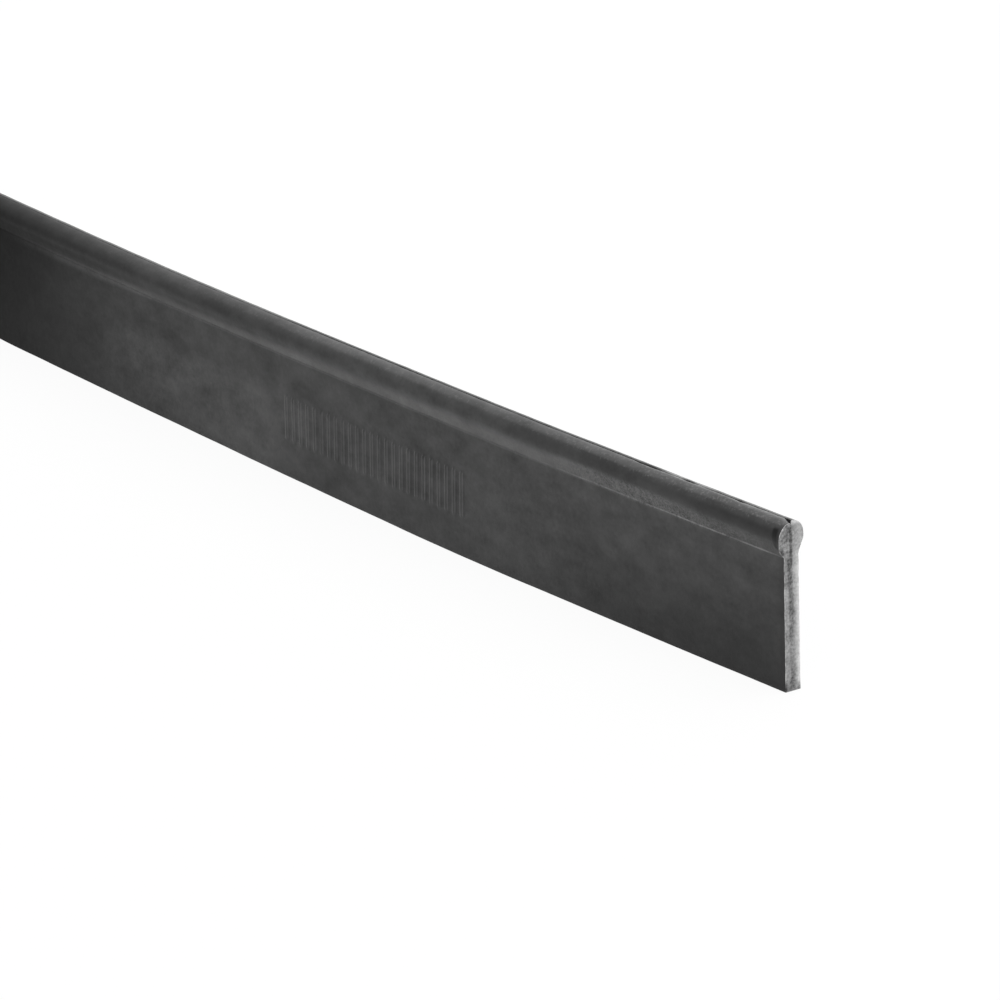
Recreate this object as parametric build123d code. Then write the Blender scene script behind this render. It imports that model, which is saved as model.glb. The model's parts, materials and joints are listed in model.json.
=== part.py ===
"""Rubber blade strip with a round bead: two moulded rubber plies bonded back to back.

The row frame has its origin on the bead's axis at the middle of the strip's length. +X runs
along the strip, +Y points from the front ply to the rear ply and +Z from the lip to the bead.
The strip has a gentle bow in plan: both ends curve towards +Y. Each ply carries one half of the
bead, and the two halves met a little out of step. All sizes are in millimetres.
"""

from build123d import *
import math
import os

# ---- Driving dimensions ------------------------------------------------------------------

STRIP_LENGTH = 355.6  # measured along the bead's axis
STRIP_HEIGHT = 27.0  # from the wiping lip to the crown of the rear ply
BOW_RADIUS = 2800.0  # plan radius that the loose strip settles to

BEAD_DIAMETER = 4.8  # round head that slides into a channel
BEAD_STEP = 0.35  # how far the rear ply's half of the bead stands above the front ply's
WEB_THICKNESS = 2.85  # both plies of the flat blade together
NECK_THICKNESS = 2.75  # waist that the channel's jaws close on

NECK_DROP = 2.9  # from the bead's axis down to the foot of the bead's flanks
LEDGE_DROP = 3.15  # from the bead's axis down to the top edge of the flat blade
LEDGE_RISE = 0.05  # how far the ledge climbs from the blade's face to the neck
NECK_FILLET = 0.5  # hollow radius between the bead's flank and the neck

CROWN_CHAMFER_WIDTH = 0.1  # broken inner edge along the top of each half of the bead
CROWN_CHAMFER_DEPTH = 0.15

# ---- Places worked out from them ---------------------------------------------------------

BEAD_RADIUS = BEAD_DIAMETER / 2
CROWN_Z = BEAD_RADIUS + BEAD_STEP / 2
LIP_Z = CROWN_Z - STRIP_HEIGHT
WEB_HALF = WEB_THICKNESS / 2
NECK_HALF = NECK_THICKNESS / 2

BOW_AXIS = Axis((0, BOW_RADIUS, 0), (0, 0, 1))
BOW_ANGLE = math.degrees(STRIP_LENGTH / BOW_RADIUS)


def flank_angle(lobe_z):
    """Angle on the lobe's circle where the straight flank from the neck touches it."""
    neck_depth = lobe_z + NECK_DROP
    reach = math.hypot(NECK_HALF, neck_depth)
    return math.atan2(-neck_depth, NECK_HALF) + math.acos(BEAD_RADIUS / reach)


def ply_section(lobe_z):
    """Cross-section of one ply, out from the bond plane along X and up along Y.

    lobe_z is the height of the centre of the ply's half of the bead.
    """

    def on_lobe(angle):
        """Point of the lobe's circle at an angle in radians from the horizontal."""
        return (BEAD_RADIUS * math.cos(angle), lobe_z + BEAD_RADIUS * math.sin(angle))

    foot = (0, LIP_Z)
    lip_corner = (WEB_HALF, LIP_Z)
    blade_top = (WEB_HALF, -LEDGE_DROP)
    neck_foot = (NECK_HALF, LEDGE_RISE - LEDGE_DROP)
    neck_head = (NECK_HALF, -NECK_DROP)
    chamfer_foot = (0, lobe_z + BEAD_RADIUS - CROWN_CHAMFER_DEPTH)

    flank = flank_angle(lobe_z)
    crown = math.acos(CROWN_CHAMFER_WIDTH / BEAD_RADIUS)
    shoulder = (flank + crown) / 2

    with BuildSketch() as section:
        with BuildLine():
            Polyline(foot, lip_corner, blade_top, neck_foot, neck_head, on_lobe(flank))
            ThreePointArc(on_lobe(flank), on_lobe(shoulder), on_lobe(crown))
            Polyline(on_lobe(crown), chamfer_foot, foot)
        make_face()
        waist = section.vertices().sort_by_distance(neck_head)[0]
        fillet(waist, NECK_FILLET)
    return section.sketch


def bowed_ply(side):
    """One ply, carried along the bow. side is +1 for the rear ply and -1 for the front ply."""
    section = ply_section(side * BEAD_STEP / 2)
    if side < 0:
        section = section.mirror(Plane.YZ)
    upright = Plane.YZ * section
    ply = revolve(upright, axis=BOW_AXIS, revolution_arc=BOW_ANGLE)
    return ply.rotate(BOW_AXIS, -BOW_ANGLE / 2)


os.makedirs("parts", exist_ok=True)
for name, side in (("front_ply", -1), ("rear_ply", 1)):
    ply = bowed_ply(side)
    ply.label = name
    export_step(ply, f"parts/{name}.step")
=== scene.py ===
"""Looks of a bowed rubber blade strip: a round bead on top, a flat blade below, in two bonded plies.

Each ply is one closed lattice: stations along the strip, rows up its outer contour and columns from
the bond plane out to that contour. The lattice's six sides are the ply's mesh. Lengths are in metres.
"""

import json
import math

import bpy
import numpy as np
from mathutils import Matrix, Vector


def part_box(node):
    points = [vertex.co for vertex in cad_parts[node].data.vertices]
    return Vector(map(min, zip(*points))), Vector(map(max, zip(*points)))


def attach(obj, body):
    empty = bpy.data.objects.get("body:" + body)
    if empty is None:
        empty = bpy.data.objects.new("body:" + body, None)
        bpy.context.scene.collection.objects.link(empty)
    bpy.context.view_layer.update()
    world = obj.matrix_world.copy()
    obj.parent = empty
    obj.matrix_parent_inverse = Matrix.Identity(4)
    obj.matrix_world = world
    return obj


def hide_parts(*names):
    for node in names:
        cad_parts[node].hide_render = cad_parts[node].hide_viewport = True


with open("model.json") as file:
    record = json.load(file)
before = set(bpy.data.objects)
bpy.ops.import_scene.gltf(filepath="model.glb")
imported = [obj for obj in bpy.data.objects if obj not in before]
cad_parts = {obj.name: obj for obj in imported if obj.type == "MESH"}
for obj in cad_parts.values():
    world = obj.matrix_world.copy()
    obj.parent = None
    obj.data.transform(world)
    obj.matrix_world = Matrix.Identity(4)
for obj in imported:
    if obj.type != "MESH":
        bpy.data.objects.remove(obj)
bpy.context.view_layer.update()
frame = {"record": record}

# ---- Sizes that the frame gives ----------------------------------------------------------

MM = 0.001
mounts = {mount["name"]: mount for mount in frame["record"]["mounts"]}
BEAD_RADIUS = mounts["bead"]["dims"]["r_mm"] * MM
STRIP_LENGTH = mounts["bead"]["dims"]["length_mm"] * MM
LIP_Z = mounts["wiping_lip"]["pos_m"][2]
BEAD_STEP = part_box("rear_ply")[1][2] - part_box("front_ply")[1][2]
end_normal = mounts["right_end"]["axis"]
HALF_BOW = math.atan2(end_normal[1], end_normal[0])
BOW_RADIUS = STRIP_LENGTH / 2 / HALF_BOW

# ---- Sizes of the section that the solids repeat -----------------------------------------

WEB_HALF = 1.425 * MM
NECK_HALF = 1.375 * MM
NECK_DROP = 2.9 * MM
NECK_FILLET = 0.5 * MM
LEDGE_DROP = 3.15 * MM
LEDGE_RISE = 0.05 * MM
CHAMFER_WIDTH = 0.1 * MM
CHAMFER_DEPTH = 0.15 * MM

# ---- Finer shape that the solids leave out -----------------------------------------------

LIP_ROUND = 0.08 * MM  # moulded lip edges aren't knife sharp
LEDGE_ROUND = 0.04 * MM
CROWN_ROUND = 0.03 * MM

# The loose strip sways. Each wave is its place from the right end, its spread and its reach, in mm.
LIP_WAVES = [(0, 20, -0.12), (84, 28, 0.43), (166, 20, -0.15), (240, 26, 0.43)]  # towards the front
CROWN_WAVES = [(0, 18, -0.12), (45, 14, 0.1), (108, 38, 0.26)]  # towards the rear

STEP_REACH = 1.6 * MM  # the crowns of the bead part over this stretch next to the right end

# Gaps between the halves of the bead. Each is its place from the right end and its half length, in mm.
GAPS = [(34.2, 2.2), (24.6, 1.1), (12.1, 0.5)]
GAP_SOFT = 0.8 * MM
CHIP_DEPTH = 0.16 * MM  # bites out of the crowns beside the gaps
CHIP_WIDTH = 0.35 * MM

FLARE_RISE = 0.5 * MM  # the saw dragged the front ply's flank outward at the right end
FLARE_HEIGHT = -2.1 * MM
FLARE_TALL = 0.9 * MM
FLARE_REACH = 0.7 * MM

NOTCH_LENGTH = 1.15 * MM  # nick in the front ply's crown at the right end
NOTCH_WIDTH = 0.35 * MM
NOTCH_DEPTH = 0.28 * MM

RIM_RISE = 0.06 * MM  # moulding flash along the ledge, near the right end
RIM_HALF = 0.08 * MM
RIM_LIFT = 0.12 * MM  # above the ledge
RIM_REACH = 52 * MM
RIM_FADE = 18 * MM

RIB_COUNT = 25  # plain moulded ribs on the front face
RIB_FIRST = 82.5 * MM  # from the right end to the first rib
RIB_PITCH = 2.2 * MM
RIB_HALF = 0.3 * MM
RIB_SOFT = 0.26 * MM
RIB_END_SOFT = 0.4 * MM
RIB_RISE = 0.16 * MM
RIB_LOW = 6.9 * MM  # above the lip
RIB_HIGH = 14.1 * MM

SEAM_DEPTH = 0.03 * MM  # groove between the plies on the sawn ends
SEAM_HALF = 0.09 * MM
BURR_RISE = 0.06 * MM
BURR_WIDTH = 0.16 * MM
SAW_GRAIN = 0.018 * MM
RELIEF_REACH = 2 * MM  # how far in the stations give way to the sawn face

SKIN_SWELL = 0.02 * MM  # unevenness of the moulded skin: broad, then fine
SKIN_RIPPLE = 0.006 * MM
BEAD_SWELL = 0.006  # lumps of the bead as shares of its radius: long, then short
BEAD_RIPPLE = 0.0035

# ---- Density of the lattice --------------------------------------------------------------

COLUMNS = 12
PLAIN_STATIONS = 270
RIBBED_STATIONS = 215
END_STATIONS = 24  # crowded towards each end, over END_SPAN
END_FIRST = 0.05 * MM
END_SPAN = 12 * MM
RIB_STATIONS = 7
STATION_GAP = 0.04 * MM  # stations closer than this are one
CORNER_POINTS = 4
WEB_POINTS = 44
RIM_POINTS = 5
WAIST_POINTS = 7
FLANK_POINTS = 3
BEAD_POINTS = 34
SHARP_ANGLE = math.radians(50)


def smooth(t):
    """0 where t is under 0 and 1 where it is over 1, with 3t^2 - 2t^3 between."""
    t = np.clip(t, 0, 1)
    return t * t * (3 - 2 * t)


def plateau(x, centre, half, soft):
    """1 within half of centre, falling to 0 over the next soft."""
    return 1 - smooth((np.abs(x - centre) - half) / soft)


def ripples(seed, along, up, wave_along, wave_up, count=7):
    """Sum of count sine waves whose lengths are spread about wave_along and wave_up; about -1 to 1."""
    draw = np.random.default_rng(seed)
    total = 0
    for _ in range(count):
        across = draw.uniform(-1, 1) / wave_up
        onward = draw.uniform(0.5, 1.5) / wave_along
        total = total + np.sin(2 * np.pi * (onward * along + across * up + draw.uniform()))
    return total / math.sqrt(count)


def waves(bumps, from_right):
    """Sum of bell curves, reach * exp(-((x - place) / spread)^2), each given in mm."""
    total = 0
    for place, spread, reach in bumps:
        total = total + reach * MM * np.exp(-(((from_right / MM - place) / spread) ** 2))
    return total


# ---- Outline of one ply ------------------------------------------------------------------


def arc(centre, radius, start, stop, count):
    """Points on a circle from one angle to another, in radians from the outward direction."""
    angle = np.linspace(start, stop, count)
    return np.stack([centre[0] + radius * np.cos(angle), centre[1] + radius * np.sin(angle)], -1)


def straight(start, stop, count):
    """Points evenly spaced on a straight line, both ends left out."""
    share = np.linspace(0, 1, count + 2)[1:-1, None]
    return (1 - share) * np.array(start) + share * np.array(stop)


def rounded(before, corner, after, radius, count):
    """Arc that rounds a corner: it touches both of the corner's lines."""
    before, corner, after = (np.array(p, float) for p in (before, corner, after))
    back = (before - corner) / np.linalg.norm(before - corner)
    onward = (after - corner) / np.linalg.norm(after - corner)
    half = math.acos(np.clip(back @ onward, -1, 1)) / 2
    middle = back + onward
    centre = corner + middle / np.linalg.norm(middle) * radius / math.sin(half)
    first = corner + back * radius / math.tan(half) - centre
    last = corner + onward * radius / math.tan(half) - centre
    start = math.atan2(first[1], first[0])
    turn = math.remainder(math.atan2(last[1], last[0]) - start, 2 * math.pi)
    return arc(centre, radius, start, start + turn, count)


def outline(lobe_z):
    """Outer contour of a ply from the lip to the crown, as (outward, up) points.

    lobe_z is the height of the centre of the ply's half of the bead.
    """
    neck_depth = lobe_z + NECK_DROP
    reach = math.hypot(NECK_HALF, neck_depth)
    flank = math.atan2(-neck_depth, NECK_HALF) + math.acos(BEAD_RADIUS / reach)
    crown = math.acos((CHAMFER_WIDTH + CROWN_ROUND) / BEAD_RADIUS)
    lobe = (0, lobe_z)
    touch = (BEAD_RADIUS * math.cos(flank), lobe_z + BEAD_RADIUS * math.sin(flank))
    foot, lip = (0, LIP_Z), (WEB_HALF, LIP_Z)
    ledge, step = (WEB_HALF, -LEDGE_DROP), (NECK_HALF, LEDGE_RISE - LEDGE_DROP)
    waist = (NECK_HALF, -NECK_DROP)
    crest = (CHAMFER_WIDTH, lobe_z + math.sqrt(BEAD_RADIUS**2 - CHAMFER_WIDTH**2))
    chamfer_foot = (0, lobe_z + BEAD_RADIUS - CHAMFER_DEPTH)
    under_rim = (WEB_HALF, -LEDGE_DROP - 4 * RIM_HALF)
    lip_arc = rounded(foot, lip, ledge, LIP_ROUND, CORNER_POINTS)
    ledge_arc = rounded(lip, ledge, step, LEDGE_ROUND, CORNER_POINTS)
    waist_arc = rounded(step, waist, touch, NECK_FILLET, WAIST_POINTS)
    bead_arc = arc(lobe, BEAD_RADIUS, flank, crown, BEAD_POINTS)
    crest_arc = rounded(bead_arc[-1], crest, chamfer_foot, CROWN_ROUND, CORNER_POINTS)
    return np.concatenate([
        lip_arc,
        straight(lip_arc[-1], under_rim, WEB_POINTS),
        straight(under_rim, ledge_arc[0], RIM_POINTS),
        ledge_arc,
        [step],
        waist_arc,
        straight(waist_arc[-1], touch, FLANK_POINTS),
        bead_arc,
        crest_arc[1:],
    ])


def stations(ribbed):
    """Places along the strip from its left end to its right end, closer at the ends and the ribs."""
    half = STRIP_LENGTH / 2
    near_end = half - np.geomspace(END_FIRST, END_SPAN, END_STATIONS)
    even = np.linspace(-half, half, RIBBED_STATIONS if ribbed else PLAIN_STATIONS)
    places = [even, near_end, -near_end]
    if ribbed:
        ribs = half - RIB_FIRST - RIB_PITCH * np.arange(RIB_COUNT)
        reach = RIB_HALF + RIB_SOFT
        around = np.linspace(-reach, reach, RIB_STATIONS)
        places.append((ribs[:, None] + around).ravel())
    places = np.unique(np.concatenate(places))
    apart = np.diff(places, prepend=-1) > STATION_GAP
    apart[-1] = True
    return places[apart]


# ---- Shape of a ply ----------------------------------------------------------------------


def ribs_on(from_right, up):
    """Rise of the row of plain upright ribs on the front face, and how near a point is to their sides.

    With p the share of the full rise along the strip and q upwards, the rise is p * q and the
    nearness is 4 * p * (1 - p) * q, a third of that on each rib's right side. The nearness sets a painted
    highlight on the ribs' sides.
    """
    index = np.clip(np.round((from_right - RIB_FIRST) / RIB_PITCH), 0, RIB_COUNT - 1)
    centre = RIB_FIRST + RIB_PITCH * index
    middle = LIP_Z + (RIB_LOW + RIB_HIGH) / 2
    tall = (RIB_HIGH - RIB_LOW) / 2
    onward = plateau(from_right, centre, RIB_HALF, RIB_SOFT)
    upward = plateau(up, middle, tall, RIB_END_SOFT)
    sides = 4 * onward * (1 - onward) * upward * np.where(from_right > centre, 1, 1 / 3)
    return RIB_RISE * onward * upward, sides


def rim_on(from_right, up):
    """Rise of the broken line of flash along the ledge: a thin ridge of uneven height."""
    ridge = np.exp(-(((up + LEDGE_DROP - RIM_LIFT) / RIM_HALF) ** 2))
    near = 1 - smooth((from_right - RIM_REACH) / RIM_FADE)
    uneven = 0.6 + 0.4 * ripples(31, from_right, 0, 2.6 * MM, 1)
    return RIM_RISE * ridge * near * np.clip(uneven, 0, 1.2)


def skin_waves(side, from_right, up):
    """Shallow unevenness of the moulded skin, measured outward."""
    web = SKIN_SWELL * ripples(40 + side, from_right, up, 17 * MM, 14 * MM)
    fine = SKIN_RIPPLE * ripples(50 + side, from_right, up, 4.5 * MM, 4 * MM, 11)
    return web + fine


def bead_lumps(side, from_right, up):
    """Relative swelling of the bead's radius along the strip."""
    long_waves = BEAD_SWELL * ripples(60 + side, from_right, up, 15 * MM, 9 * MM)
    short_waves = BEAD_RIPPLE * ripples(70 + side, from_right, up, 4 * MM, 4 * MM, 9)
    return long_waves + short_waves


def gap_at(from_right):
    """1 along each gap between the halves of the bead and 0 between the gaps."""
    return sum(plateau(from_right, place * MM, half * MM, GAP_SOFT) for place, half in GAPS)


def chips_on(from_right, outward, up):
    """Depth of the bites out of a crown next to the seam: the gaps, and smaller nibbles between them."""
    nibbles = smooth((ripples(82, from_right, 0, 1.9 * MM, 1) - 0.75) / 0.3)
    near_seam = np.clip(1 - outward / CHIP_WIDTH, 0, 1)
    return CHIP_DEPTH * (gap_at(from_right) + 0.25 * nibbles) * near_seam * (up > 0)


def flare_on(from_right, up):
    """Rise of the torn lip of rubber beside the sawn end's flank."""
    tall = smooth((up + LEDGE_DROP) / (0.3 * MM)) * np.exp(-(((up - FLARE_HEIGHT) / FLARE_TALL) ** 2))
    return FLARE_RISE * tall * np.exp(-from_right / FLARE_REACH)


def notch_on(from_right, outward, up):
    """Depth of the wedge-shaped nick at the right end of the front ply's crown, with its bites."""
    lengthwise = np.clip(1 - from_right / NOTCH_LENGTH, 0, 1)
    sideways = np.clip(1 - outward / NOTCH_WIDTH, 0, 1)
    return NOTCH_DEPTH * lengthwise**0.7 * sideways * (up > 0) + chips_on(from_right, outward, up)


def cut_relief(seed, across, outward, up):
    """How far a sawn end stands out: a seam groove, saw grain and a burr along its outer edge."""
    seam = -SEAM_DEPTH * np.exp(-((across / SEAM_HALF) ** 2))
    grain = SAW_GRAIN * ripples(seed, across, up, 0.8 * MM, 0.8 * MM, 14)
    burr = BURR_RISE * smooth((np.abs(across) - outward) / BURR_WIDTH + 1)
    uneven = 0.5 + 0.5 * ripples(seed + 1, up, across, 2 * MM, 3 * MM)
    return seam + grain + burr * np.clip(uneven, 0, 1)


def sway(from_right, up):
    """Sideways drift of the loose strip: the lip's waves fade upwards and the crown's downwards."""
    height = np.clip((up - LIP_Z) / -LIP_Z, 0, 1)
    return height * waves(CROWN_WAVES, from_right) - (1 - height) * waves(LIP_WAVES, from_right)


def bend(along, sideways, up):
    """Carries straight coordinates round the bow: along is an arc, sideways points to its centre."""
    angle = along / BOW_RADIUS
    radius = BOW_RADIUS - sideways
    return np.stack([radius * np.sin(angle), BOW_RADIUS - radius * np.cos(angle), up], -1)


def ply_lattice(side):
    """Straight coordinates of a ply's lattice: place along, across the bond plane, height.

    With them come the values that the finishes read: the distance from the right end, the place
    across, the depth under the skin, the nearness to the ribs' sides, which sets their painted highlight, and
    the gaps.
    """
    along = stations(side < 0)[:, None]
    from_right = STRIP_LENGTH / 2 - along
    flush = smooth(from_right / STEP_REACH)
    lobe_z = (1 - flush) * side * BEAD_STEP / 2 + flush * BEAD_STEP / 2
    low, high = outline(side * BEAD_STEP / 2), outline(BEAD_STEP / 2)
    outward = (1 - flush) * low[:, 0] + flush * high[:, 0]
    up = (1 - flush) * low[:, 1] + flush * high[:, 1]

    on_bead = smooth((up + NECK_DROP) / (0.8 * MM))
    swell = 1 + bead_lumps(side, from_right, up) * on_bead
    on_web = 1 - smooth((up + LEDGE_DROP + 0.4 * MM) / (0.4 * MM))
    off_seam = np.clip(outward / WEB_HALF, 0, 1)
    raise_by = skin_waves(side, from_right, up) * off_seam + rim_on(from_right, up) * off_seam
    if side < 0:
        raise_by = raise_by + ribs_on(from_right, up)[0] * on_web * off_seam + flare_on(from_right, up)
    bite = notch_on if side < 0 else chips_on
    wall_top = lobe_z + BEAD_RADIUS - CHAMFER_DEPTH - bite(from_right, 0, 1)
    up = up * swell - bite(from_right, outward, up)
    outward = outward * swell + raise_by

    share = np.linspace(0, 1, COLUMNS + 1)
    inner = np.minimum(up, wall_top)
    across = side * outward[..., None] * share
    height = inner[..., None] + (up - inner)[..., None] * share
    place = along[..., None] + 0 * across
    for end, sign in ((0, -1), (-1, 1)):
        relief = cut_relief(90 + sign, across[end], outward[end][:, None], height[end])
        near = np.clip(1 - np.abs(along - along[end]) / RELIEF_REACH, 0, 1)[..., None]
        place = place + sign * near * relief
    marks = {
        "from_right": from_right[..., None] - (place - along[..., None]),
        "across": across,
        "depth": outward[..., None] * (1 - share),
        "rib_side_highlight": ribs_on(from_right, up)[1][..., None] * (side < 0) + 0 * across,
        "gap": gap_at(from_right)[..., None] + 0 * across,
    }
    return place, across, height, marks


def lattice_mesh(name, points, handed):
    """Closed mesh of a lattice's six sides. handed is +1 where its axes are right-handed."""
    ids = np.arange(points[..., 0].size).reshape(points.shape[:3])

    def side(grid, turned):
        quads = np.stack([grid[:-1, :-1], grid[1:, :-1], grid[1:, 1:], grid[:-1, 1:]], -1).reshape(-1, 4)
        return quads[:, ::-1] if turned * handed < 0 else quads

    caps = [side(ids[0], -1), side(ids[-1], 1)]
    skins = [side(ids[:, 0], 1), side(ids[:, -1], -1), side(ids[:, :, 0], -1), side(ids[:, :, -1], 1)]
    quads = np.concatenate(caps + skins)
    used, quads = np.unique(quads, return_inverse=True)
    quads = quads.reshape(-1, 4)
    mesh = bpy.data.meshes.new(name)
    mesh.from_pydata(points.reshape(-1, 3)[used], [], quads)
    on_cap = np.arange(len(quads)) < sum(map(len, caps))
    mesh.polygons.foreach_set("material_index", on_cap.astype(np.int32))
    return mesh, used


def add_ply(name, node, side, finishes):
    """One ply as a piece that stands for its CAD node."""
    place, across, height, marks = ply_lattice(side)
    points = bend(place, across + sway(STRIP_LENGTH / 2 - place, height), height)
    mesh, used = lattice_mesh(name, points, -side)
    for label, values in marks.items():
        mesh.attributes.new(label, "FLOAT", "POINT").data.foreach_set("value", values.ravel()[used])
    mesh.validate()
    mesh.shade_smooth()
    mesh.set_sharp_from_angle(angle=SHARP_ANGLE)
    for finish in finishes:
        mesh.materials.append(finish)
    piece = bpy.data.objects.new(name, mesh)
    bpy.context.scene.collection.objects.link(piece)
    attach(piece, "root")
    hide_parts(node)


# ---- Finishes ----------------------------------------------------------------------------

BLACK_RUBBER = 0.012
# The bloom's grey also paints the highlights; the shares below weigh the bloom, its painted shade and the
# painted highlights.
BLOOM_AND_PAINTED_LIGHT_GREY = 0.3
SKIN_BLOOM_AND_PAINTED_LIGHT = 0.165
CROWN_HIGHLIGHT_AND_DUST = 0.1
FLANK_HIGHLIGHT = 0.195
FLASH_HIGHLIGHT = 0.42
RIB_SIDE_HIGHLIGHT = 0.8
SKIN_ROUGHNESS = 0.56
SKIN_SPECULAR = 0.2
CUT_DARK = 0.05
CUT_PALE = 0.8
CUT_ROUGHNESS = 0.85
CUT_SPECULAR = 0.3


class Wire:
    """A socket of a finish. Arithmetic on wires and numbers adds the Math nodes for it."""

    def __init__(self, finish, socket):
        self.finish = finish
        self.socket = socket

    def math(self, operation, *values):
        return self.finish.add("ShaderNodeMath", {"operation": operation}, values)

    def __add__(self, other):
        return self.math("ADD", self, other)

    def __sub__(self, other):
        return self.math("SUBTRACT", self, other)

    def __rsub__(self, other):
        return self.math("SUBTRACT", other, self)

    def __mul__(self, other):
        return self.math("MULTIPLY", self, other)

    def __truediv__(self, other):
        return self.math("DIVIDE", self, other)

    __radd__ = __add__
    __rmul__ = __mul__


class Finish:
    """A material under construction."""

    def __init__(self, name):
        self.material = bpy.data.materials.new(name)
        self.material.use_nodes = True
        self.tree = self.material.node_tree
        self.tree.nodes.clear()

    def add(self, kind, settings=None, values=(), output=0):
        """Adds a node, sets it up, fills its sockets in order or by name, and returns one output."""
        node = self.tree.nodes.new(kind)
        for key, setting in (settings or {}).items():
            setattr(node, key, setting)
        pairs = values.items() if isinstance(values, dict) else enumerate(values)
        for key, value in pairs:
            if isinstance(value, Wire):
                self.tree.links.new(value.socket, node.inputs[key])
            else:
                node.inputs[key].default_value = value
        return Wire(self, node.outputs[output]) if node.outputs else None


def grey(value):
    """A neutral colour."""
    return (value, value, value, 1)


def clouds(finish, size, detail=2.0, drift=0.0, stretch=1.0):
    """Smooth random values around 0, mostly within -0.5 to 0.5, whose lumps are size mm across.

    Along the strip the lumps are longer by stretch.
    """
    where = finish.add("ShaderNodeTexCoord", output="Object")
    where = finish.add("ShaderNodeVectorMath", {"operation": "MULTIPLY"}, [where, (1 / stretch, 1, 1)])
    look = {"noise_dimensions": "4D"}
    noise = {"Vector": where, "W": drift, "Scale": 1 / (size * MM), "Detail": detail, "Roughness": 0.55}
    return (finish.add("ShaderNodeTexNoise", look, noise) - 0.5) * 2


def ease(finish, value, low, high):
    """0 below low and 1 above high, with a smooth step between; low above high turns it round."""
    sockets = {"Value": value, "From Min": low, "From Max": high}
    return finish.add("ShaderNodeMapRange", {"interpolation_type": "SMOOTHSTEP"}, sockets)


def band(finish, value, low, high, soft):
    """1 between low and high, falling to 0 over soft outside them."""
    return ease(finish, value, low - soft, low) * ease(finish, value, high + soft, high)


def mix(finish, mask, first, second):
    """A colour that goes from first, where mask is 0, to second, where it is 1."""
    return finish.add("ShaderNodeMix", {"data_type": "RGBA"}, {0: mask, 6: first, 7: second}, output=2)


def mark(finish, name):
    """One of the values that the pieces carry."""
    return finish.add("ShaderNodeAttribute", {"attribute_name": name}, output="Fac")


def measured(finish, name):
    """One of the distances that the pieces carry, in mm."""
    return mark(finish, name) / MM


def height_of(finish):
    """Height above the bead's axis, in mm."""
    where = finish.add("ShaderNodeTexCoord", output="Object")
    return finish.add("ShaderNodeSeparateXYZ", {}, [where], output="Z") / MM


def left_part(finish):
    """1 on the strip's left part, 0 on its right part."""
    return ease(finish, measured(finish, "from_right"), 172, 203)


def above_ledge_of(finish):
    """Height over the ledge in mm."""
    return height_of(finish) + LEDGE_DROP / MM


def bead_part(finish):
    """1 on the bead and its flanks, 0 on the blade."""
    return ease(finish, above_ledge_of(finish), -0.1, 0.2)


def clear_of_left_shade(finish, low, high):
    """Painted shade, 1 but on a stretch of the front towards the left, where it falls to 0 between low and
    high.
    """
    from_right = measured(finish, "from_right")
    front = ease(finish, measured(finish, "across"), 0.3, -0.3)
    return 1 - front * ease(finish, from_right, low, high) * ease(finish, from_right, 280, 242)


def skin_bloom_and_painted_light(finish):
    """Cloudy bloom with painted shade, darker on a stretch of the front towards the left, at the lower right
    and on the bead's equator, and a painted sheen low on the web further left.
    """
    height, from_right = height_of(finish), measured(finish, "from_right")
    haze = 1 + 0.75 * clouds(finish, 9, 3.0, 0.4, 2.2) + 0.75 * clouds(finish, 2.6, 3.0, 3.1, 1.8)
    haze = haze + 0.35 * clouds(finish, 0.7, 3.0, 5.2)
    # painted shade towards the lower right, and a painted sheen low on the web further left
    low_right = ease(finish, from_right, 72, 12) * ease(finish, height, -2, -24)
    low_left = band(finish, from_right, 150, 178, 32) * ease(finish, height, -8, -13)
    # painted shade on the bead's equator, deeper near the right end
    beside = 0.35 * ease(finish, from_right, 36, 9) + 0.1 * ease(finish, from_right, 165, 195)
    beside = beside - 0.2 * band(finish, from_right, 78, 106, 16)
    equator = bead_part(finish) * (0.27 + beside * band(finish, height, -0.3, 0.9, 0.8))
    share = haze * (1 - 0.72 * low_right + 0.45 * low_left) * (1 - equator)
    # painted shade on a stretch of the front towards the left and, on the left part, on the lower bead
    share = share * clear_of_left_shade(finish, 178, 240)
    return share * (1 - 0.5 * left_part(finish) * band(finish, height, -1.5, -0.8, 0.5))


def crown_highlight_and_dust(finish):
    """Painted highlight that grows with the height on the bead, a painted highlight along its crest and a
    pale painted glint at its crest's edge, with specks of dust.
    """
    height, from_right = height_of(finish), measured(finish, "from_right")
    lumpy = 1 + 0.7 * clouds(finish, 2.5, 4.0, 8.3, 1.5)
    # painted highlight on the bead's top, and a painted sheen on its side on the left part
    slope = ease(finish, from_right, 60, 75) * 0.5 - ease(finish, from_right, 165, 215) * 0.28
    slope = ease(finish, height, 0, 2) * (0.4 + slope)
    slope = slope + 0.35 * band(finish, height, -0.4, 1.4, 0.8) * ease(finish, from_right, 172, 215)
    start = 1.65 + 0.2 * ease(finish, from_right, 35, 12)
    # painted highlight along the crest
    crest = ease(finish, height, start, 2.15) * (0.35 + 0.75 * ease(finish, from_right, 165, 120))
    uneven = 0.4 * band(finish, from_right, 35, 58, 8) - 0.2 * band(finish, from_right, 68, 82, 6)
    crest = crest * (1 + uneven)
    dust = ease(finish, clouds(finish, 0.5, 3.0, 9.3), 0.0, 0.5) * ease(finish, height, 1.2, 2.2)
    dust = dust * ease(finish, from_right, 235, 110) * (1 + 0.8 * ease(finish, from_right, 70, 30))
    # painted glint at the crest's edge near the right end
    edge = ease(finish, from_right, 32, 28) * ease(finish, height, 1.2, 1.8)
    inward = -0.55 - 0.5 * ease(finish, from_right, 16, 8)
    edge = edge * ease(finish, measured(finish, "across"), inward, -0.1)
    return (slope + crest) * lumpy + 1.6 * dust + 2.1 * edge


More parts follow.
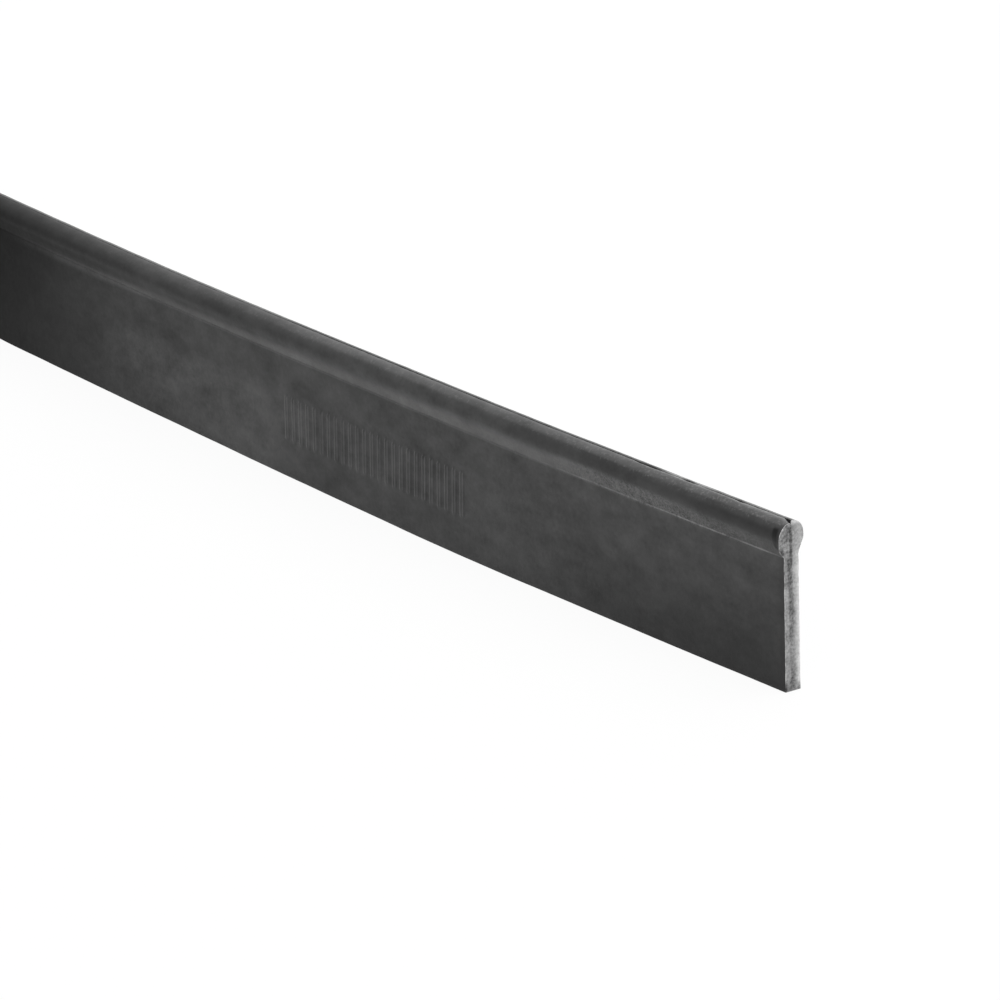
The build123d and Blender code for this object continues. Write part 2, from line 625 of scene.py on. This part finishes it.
def flank_highlight(finish):
    """Painted highlight on the flank under the bead, in flecks: it hugs the ledge, over a height that grows
    towards the right end.
    """
    above_ledge, from_right = above_ledge_of(finish), measured(finish, "from_right")
    left = left_part(finish)
    reach = 2.05 + 1.25 * ease(finish, from_right, 185, 65) - 1.05 * left
    soft = 1.9 - 0.7 * band(finish, from_right, 30, 52, 8) - 1.0 * left
    share = ease(finish, above_ledge, reach, reach - soft)
    share = share * ease(finish, above_ledge, -0.35 - 1.05 * left, 0.15 - 0.15 * left)
    share = share * ease(finish, from_right, -14, 50) * clear_of_left_shade(finish, 198, 240)
    share = share * (1 + 0.15 * band(finish, from_right, 80, 145, 15))
    flecks = clouds(finish, 0.32, 3.0, 14.2) + 0.5 * clouds(finish, 1.1, 3.0, 18.6)
    flecks = flecks * (0.55 + 3.2 * ease(finish, from_right, 62, 22))
    return share * (1 + 0.5 * clouds(finish, 3, 3.0, 5.7, 1.6) + flecks)


def flash_highlight(finish):
    """Painted highlight along the broken line of flash on the ledge near the right end."""
    from_right = measured(finish, "from_right")
    patchy = 0.45 + 0.55 * ease(finish, clouds(finish, 1.8, 3.0, 2.2), -0.3, 0.1)
    patchy = patchy * (0.6 + 0.4 * ease(finish, from_right, 34, 22))
    patchy = patchy * ease(finish, from_right, 72, 45) * (0.4 + 0.6 * ease(finish, from_right, 0.5, 3))
    return patchy * band(finish, above_ledge_of(finish), 0.06, 0.2, 0.08)


def painted_shade_factor(finish):
    """Painted shade, 0 in the gaps, low in the nick and beside the sawn end, lower along the crown's seam, 1
    elsewhere.
    """
    height, from_right = height_of(finish), measured(finish, "from_right")
    across = measured(finish, "across")
    at_crest = ease(finish, height, 1.2, 1.8)
    near_end = ease(finish, from_right, 1.6, 0.2) * 0.3 * (1 - bead_part(finish))
    slit = band(finish, from_right, 0.7, 1.2, 0.5) * band(finish, height, -1.5, 1.2, 0.6)
    gap = mark(finish, "gap") * band(finish, across, -0.12, 0.5, 0.12) * at_crest
    seam = 0.95 * ease(finish, from_right, 33, 40) * ease(finish, from_right, 150, 122)
    seam = seam + 0.6 * ease(finish, from_right, 20, 17)
    seam = seam * band(finish, across, -0.06, 0.6, 0.06) * at_crest
    nick = 0.85 * band(finish, across, -0.1, 0.4, 0.1) * ease(finish, from_right, 1.6, 1.0)
    return (1 - near_end) * (1 - slit) * (1 - gap) * (1 - seam) * (1 - nick)


def rubber_shader(finish, colour, roughness, grain, specular):
    """Ends a rubber finish. grain is the height of its fine relief in mm."""
    normal = finish.add("ShaderNodeBump", {}, {"Strength": 1.0, "Distance": MM, "Height": grain})
    sockets = {"Base Color": colour, "Roughness": roughness, "Normal": normal, "Specular IOR Level": specular}
    shader = finish.add("ShaderNodeBsdfPrincipled", {}, sockets)
    finish.add("ShaderNodeOutputMaterial", {}, [shader])
    return finish.material


def moulded_rubber():
    """Matte black rubber straight from the mould under a grey bloom, with painted highlights, on the ribs'
    sides among them, and painted shade.
    """
    finish = Finish("moulded_rubber")
    # Grey share: the bloom with painted shade and sheen, painted highlights on the ribs' sides, crown, flank
    # and flash line, all dimmed by the painted shade in the recesses.
    share = SKIN_BLOOM_AND_PAINTED_LIGHT * skin_bloom_and_painted_light(finish) + RIB_SIDE_HIGHLIGHT * mark(finish, "rib_side_highlight")
    share = share + CROWN_HIGHLIGHT_AND_DUST * crown_highlight_and_dust(finish) + FLANK_HIGHLIGHT * flank_highlight(finish)
    share = (share + FLASH_HIGHLIGHT * flash_highlight(finish)) * painted_shade_factor(finish)
    colour = mix(finish, share, grey(BLACK_RUBBER), grey(BLOOM_AND_PAINTED_LIGHT_GREY))
    roughness = SKIN_ROUGHNESS + 0.1 * clouds(finish, 9, 2.0, 7.7) + 0.08 * clouds(finish, 0.9, 2.0, 1.3)
    grain = 0.004 * clouds(finish, 0.22, 2.0, 4.4) + 0.012 * clouds(finish, 1.1, 3.0, 6.1)
    return rubber_shader(finish, colour, roughness, grain, SKIN_SPECULAR)


def torn_grain(finish, front_lobe):
    """Light and dark grains of the torn rubber, stronger on the front ply's half of the bead."""
    torn = 0.3 * clouds(finish, 0.42, 3.0, 3.3) * (1 + 0.25 * front_lobe)
    torn = torn + 0.2 * clouds(finish, 1.3, 2.0, 7.3) * (1 + 1.1 * front_lobe)
    pits = ease(finish, clouds(finish, 0.5, 2.0, 12.4), 0.36, 0.55)
    return torn + 0.1 * clouds(finish, 4, 2.0, 17.3) - 0.12 * pits


def cut_rubber():
    """The sawn grey end: a dark core beside the seam, paler towards the faces, torn and granular.

    The core drifts to the front lower down, the fold is the seam's dark line within the bead, the
    rim is a pale burr along the front ply, the crest is a painted highlight on the top of the rear ply's half
    of the bead, a painted shadow lies by the front face low on the bead, and the foot of the end is darker.
    """
    finish = Finish("cut_rubber")
    across, depth = measured(finish, "across"), measured(finish, "depth")
    height = height_of(finish)
    wander = across + 0.25 * clouds(finish, 3.5, 3.0, 1.9)
    unsteady = across + 0.12 * clouds(finish, 1.2, 3.0, 4.9)
    drift = 0.25 - 0.27 * ease(finish, height, -5, -10.5) - 0.16 * ease(finish, height, -13, -20)
    core = band(finish, unsteady + drift, -0.32, 0.22, 0.38) * (0.95 + 0.25 * clouds(finish, 2.4, 2.0, 6.6))
    core = core * (0.62 + 0.38 * ease(finish, height, -13, -6)) * ease(finish, height, -3, -4.2)
    fold = band(finish, across + 0.08 * clouds(finish, 1.2, 3.0, 4.9), -0.15, 0.08, 0.36)
    fold = fold * ease(finish, height, -4.2, -2.8) * ease(finish, height, 1.5, 0.5)
    rear = ease(finish, wander, -0.1, 0.6) * 0.2 + ease(finish, wander, 0.5, 1.7) * 0.8
    behind = ease(finish, across, 0, 0.15)
    front_lobe = (1 - behind) * ease(finish, height, -2.8, -2.0)
    burr = ease(finish, depth, 0.3, 0.08) * ease(finish, clouds(finish, 1.3, 2.0, 8.2), -0.3, 0.3)
    rim = burr * (1 - behind) * (0.17 + 0.24 * ease(finish, height, -0.2, 1.2))
    on_web = ease(finish, height, -2, -4)
    # painted highlight on the top of the rear ply's half of the bead
    crest = ease(finish, height, 1.4, 2.4) * behind * ease(finish, wander, 2.2, 1.2)
    lip = ease(finish, height, LIP_Z / MM + 2.2, LIP_Z / MM + 0.2)
    corner = lip * ease(finish, across, -0.9, -1.3)
    shaded = ease(finish, across, -1.1, -1.5) * band(finish, height, -2.9, -2.1, 0.4)
    pale = 0.21 + 0.035 * on_web + (0.18 + 0.35 * on_web) * rear + rim + 0.4 * crest
    pale = pale - 0.17 * core - 0.2 * fold - 0.03 * front_lobe - 0.08 * shaded
    pale = pale + torn_grain(finish, front_lobe) - lip * (0.05 + 0.42 * rear) - 0.3 * corner
    colour = mix(finish, pale, grey(CUT_DARK), grey(CUT_PALE))
    grain = 0.03 * clouds(finish, 0.5, 3.0, 5.5) + 0.05 * clouds(finish, 1.4, 2.0, 2.8)
    return rubber_shader(finish, colour, CUT_ROUGHNESS, grain, CUT_SPECULAR)


# ---- Pieces ------------------------------------------------------------------------------

finishes = [moulded_rubber(), cut_rubber()]
add_ply("front_ply_rubber", "front_ply", -1, finishes)
add_ply("rear_ply_rubber", "rear_ply", 1, finishes)

# ---- Floor, light and camera -------------------------------------------------------------

FLOOR_HALF = 12.0
FLOOR_GAP = 0.02 * MM
FLOOR_WHITE = 0.95
FLOOR_PAINTED_FADE = (-0.2, 0.1)  # painted light: from here to there along X the floor's paint brightens, seen from the rubber
# the floor's paint as the rubber sees it, painted shade at the left and painted light at the right
FLOOR_DIM = 0.1
FLOOR_BRIGHT = 0.85
DOME_LIGHT = 0.35
LENS_MM = 196.5
CAMERA_SPOT = (0.8002, -0.4456, 0.25914)
CAMERA_AZIMUTH = math.radians(57.278)
CAMERA_PITCH = math.radians(18.2)
CAMERA_ROLL = math.radians(-1.335)
CAMERA_REACH = (0.05, 60)


def add_floor():
    """Pale floor at the lip's level, white where it is seen directly, so that shadows stay faint.

    What it sends back to the rubber fades to the left, a painted falloff of light as on a sheet that is lit
    from the right.
    """
    finish = Finish("pale_floor")
    path = "ShaderNodeLightPath"
    where = finish.add("ShaderNodeTexCoord", output="Object")
    # painted falloff of light along the floor
    lit = ease(finish, finish.add("ShaderNodeSeparateXYZ", {}, [where], output="X"), *FLOOR_PAINTED_FADE)
    direct = finish.add(path, output="Is Camera Ray") + finish.add(path, output="Is Transmission Ray")
    seen = (direct + finish.add(path, output="Is Glossy Ray") * lit) * FLOOR_WHITE
    colour = mix(finish, finish.add("ShaderNodeMath", {"operation": "MAXIMUM"}, [direct, lit]),
                 grey(FLOOR_DIM), grey(FLOOR_BRIGHT))
    paint = finish.add("ShaderNodeBsdfDiffuse", {}, {"Color": colour})
    white = finish.add("ShaderNodeEmission", {}, {"Color": grey(1.0), "Strength": 1.0})
    mixed = finish.add("ShaderNodeMixShader", {}, [seen, paint, white])
    finish.add("ShaderNodeOutputMaterial", {}, [mixed])
    mesh = bpy.data.meshes.new("floor")
    sides = ((-1, -1), (1, -1), (1, 1), (-1, 1))
    corners = [(x * FLOOR_HALF, y * FLOOR_HALF, LIP_Z - FLOOR_GAP) for x, y in sides]
    mesh.from_pydata(corners, [], [(0, 1, 2, 3)])
    mesh.materials.append(finish.material)
    floor = bpy.data.objects.new("floor", mesh)
    bpy.context.scene.collection.objects.link(floor)


def add_world():
    """An even dome that lights the scene weakly and that the camera itself sees as white."""
    world = bpy.data.worlds.new("studio")
    world.use_nodes = True
    tree = world.node_tree
    path = tree.nodes.new("ShaderNodeLightPath")
    level = tree.nodes.new("ShaderNodeMapRange")
    level.inputs["To Min"].default_value = DOME_LIGHT
    level.inputs["To Max"].default_value = 1.0
    dome = tree.nodes["Background"]
    dome.inputs["Color"].default_value = grey(1.0)
    tree.links.new(path.outputs["Is Camera Ray"], level.inputs["Value"])
    tree.links.new(level.outputs["Result"], dome.inputs["Strength"])
    bpy.context.scene.world = world


def softbox(name, spot, target, width, height, level):
    """Area light whose glowing face has the given level, where 1 is white."""
    light = bpy.data.lights.new(name, "AREA")
    light.shape = "RECTANGLE"
    light.size = width
    light.size_y = height
    light.energy = level * math.pi * width * height
    box = bpy.data.objects.new(name, light)
    box.location = spot
    box.rotation_euler = (Vector(target) - Vector(spot)).to_track_quat("-Z", "Y").to_euler()
    bpy.context.scene.collection.objects.link(box)


def add_camera():
    """Camera looking down along its azimuth and pitch, rolled a little."""
    sin_a, cos_a = math.sin(CAMERA_AZIMUTH), math.cos(CAMERA_AZIMUTH)
    ahead = Vector((-sin_a * math.cos(CAMERA_PITCH), cos_a * math.cos(CAMERA_PITCH), -math.sin(CAMERA_PITCH)))
    level = Vector((cos_a, sin_a, 0))
    above = level.cross(ahead)
    right = math.cos(CAMERA_ROLL) * level + math.sin(CAMERA_ROLL) * above
    up = math.cos(CAMERA_ROLL) * above - math.sin(CAMERA_ROLL) * level
    lens = bpy.data.cameras.new("camera")
    lens.lens = LENS_MM
    lens.clip_start, lens.clip_end = CAMERA_REACH
    camera = bpy.data.objects.new("camera", lens)
    turn = Matrix((right, up, -ahead)).transposed().to_4x4()
    camera.matrix_world = Matrix.Translation(CAMERA_SPOT) @ turn
    bpy.context.scene.collection.objects.link(camera)
    bpy.context.scene.camera = camera


add_floor()
softbox("top_light", (0, 0.5, 1.1), (0, 0, 0), 1.4, 1.2, 3.0)
softbox("key_light", (0.75, -0.8, 0.5), (0.1, 0, 0), 0.6, 0.6, 2.5)
softbox("rim_light", (-1.0, 1.25, 0.55), (0.05, 0, 0), 1.1, 0.8, 3.6)
softbox("side_light", (1.3, 0.3, 0.45), (0.15, 0, 0), 0.7, 0.7, 3.0)
add_camera()
add_world()
bpy.context.scene.view_settings.view_transform = "Standard"
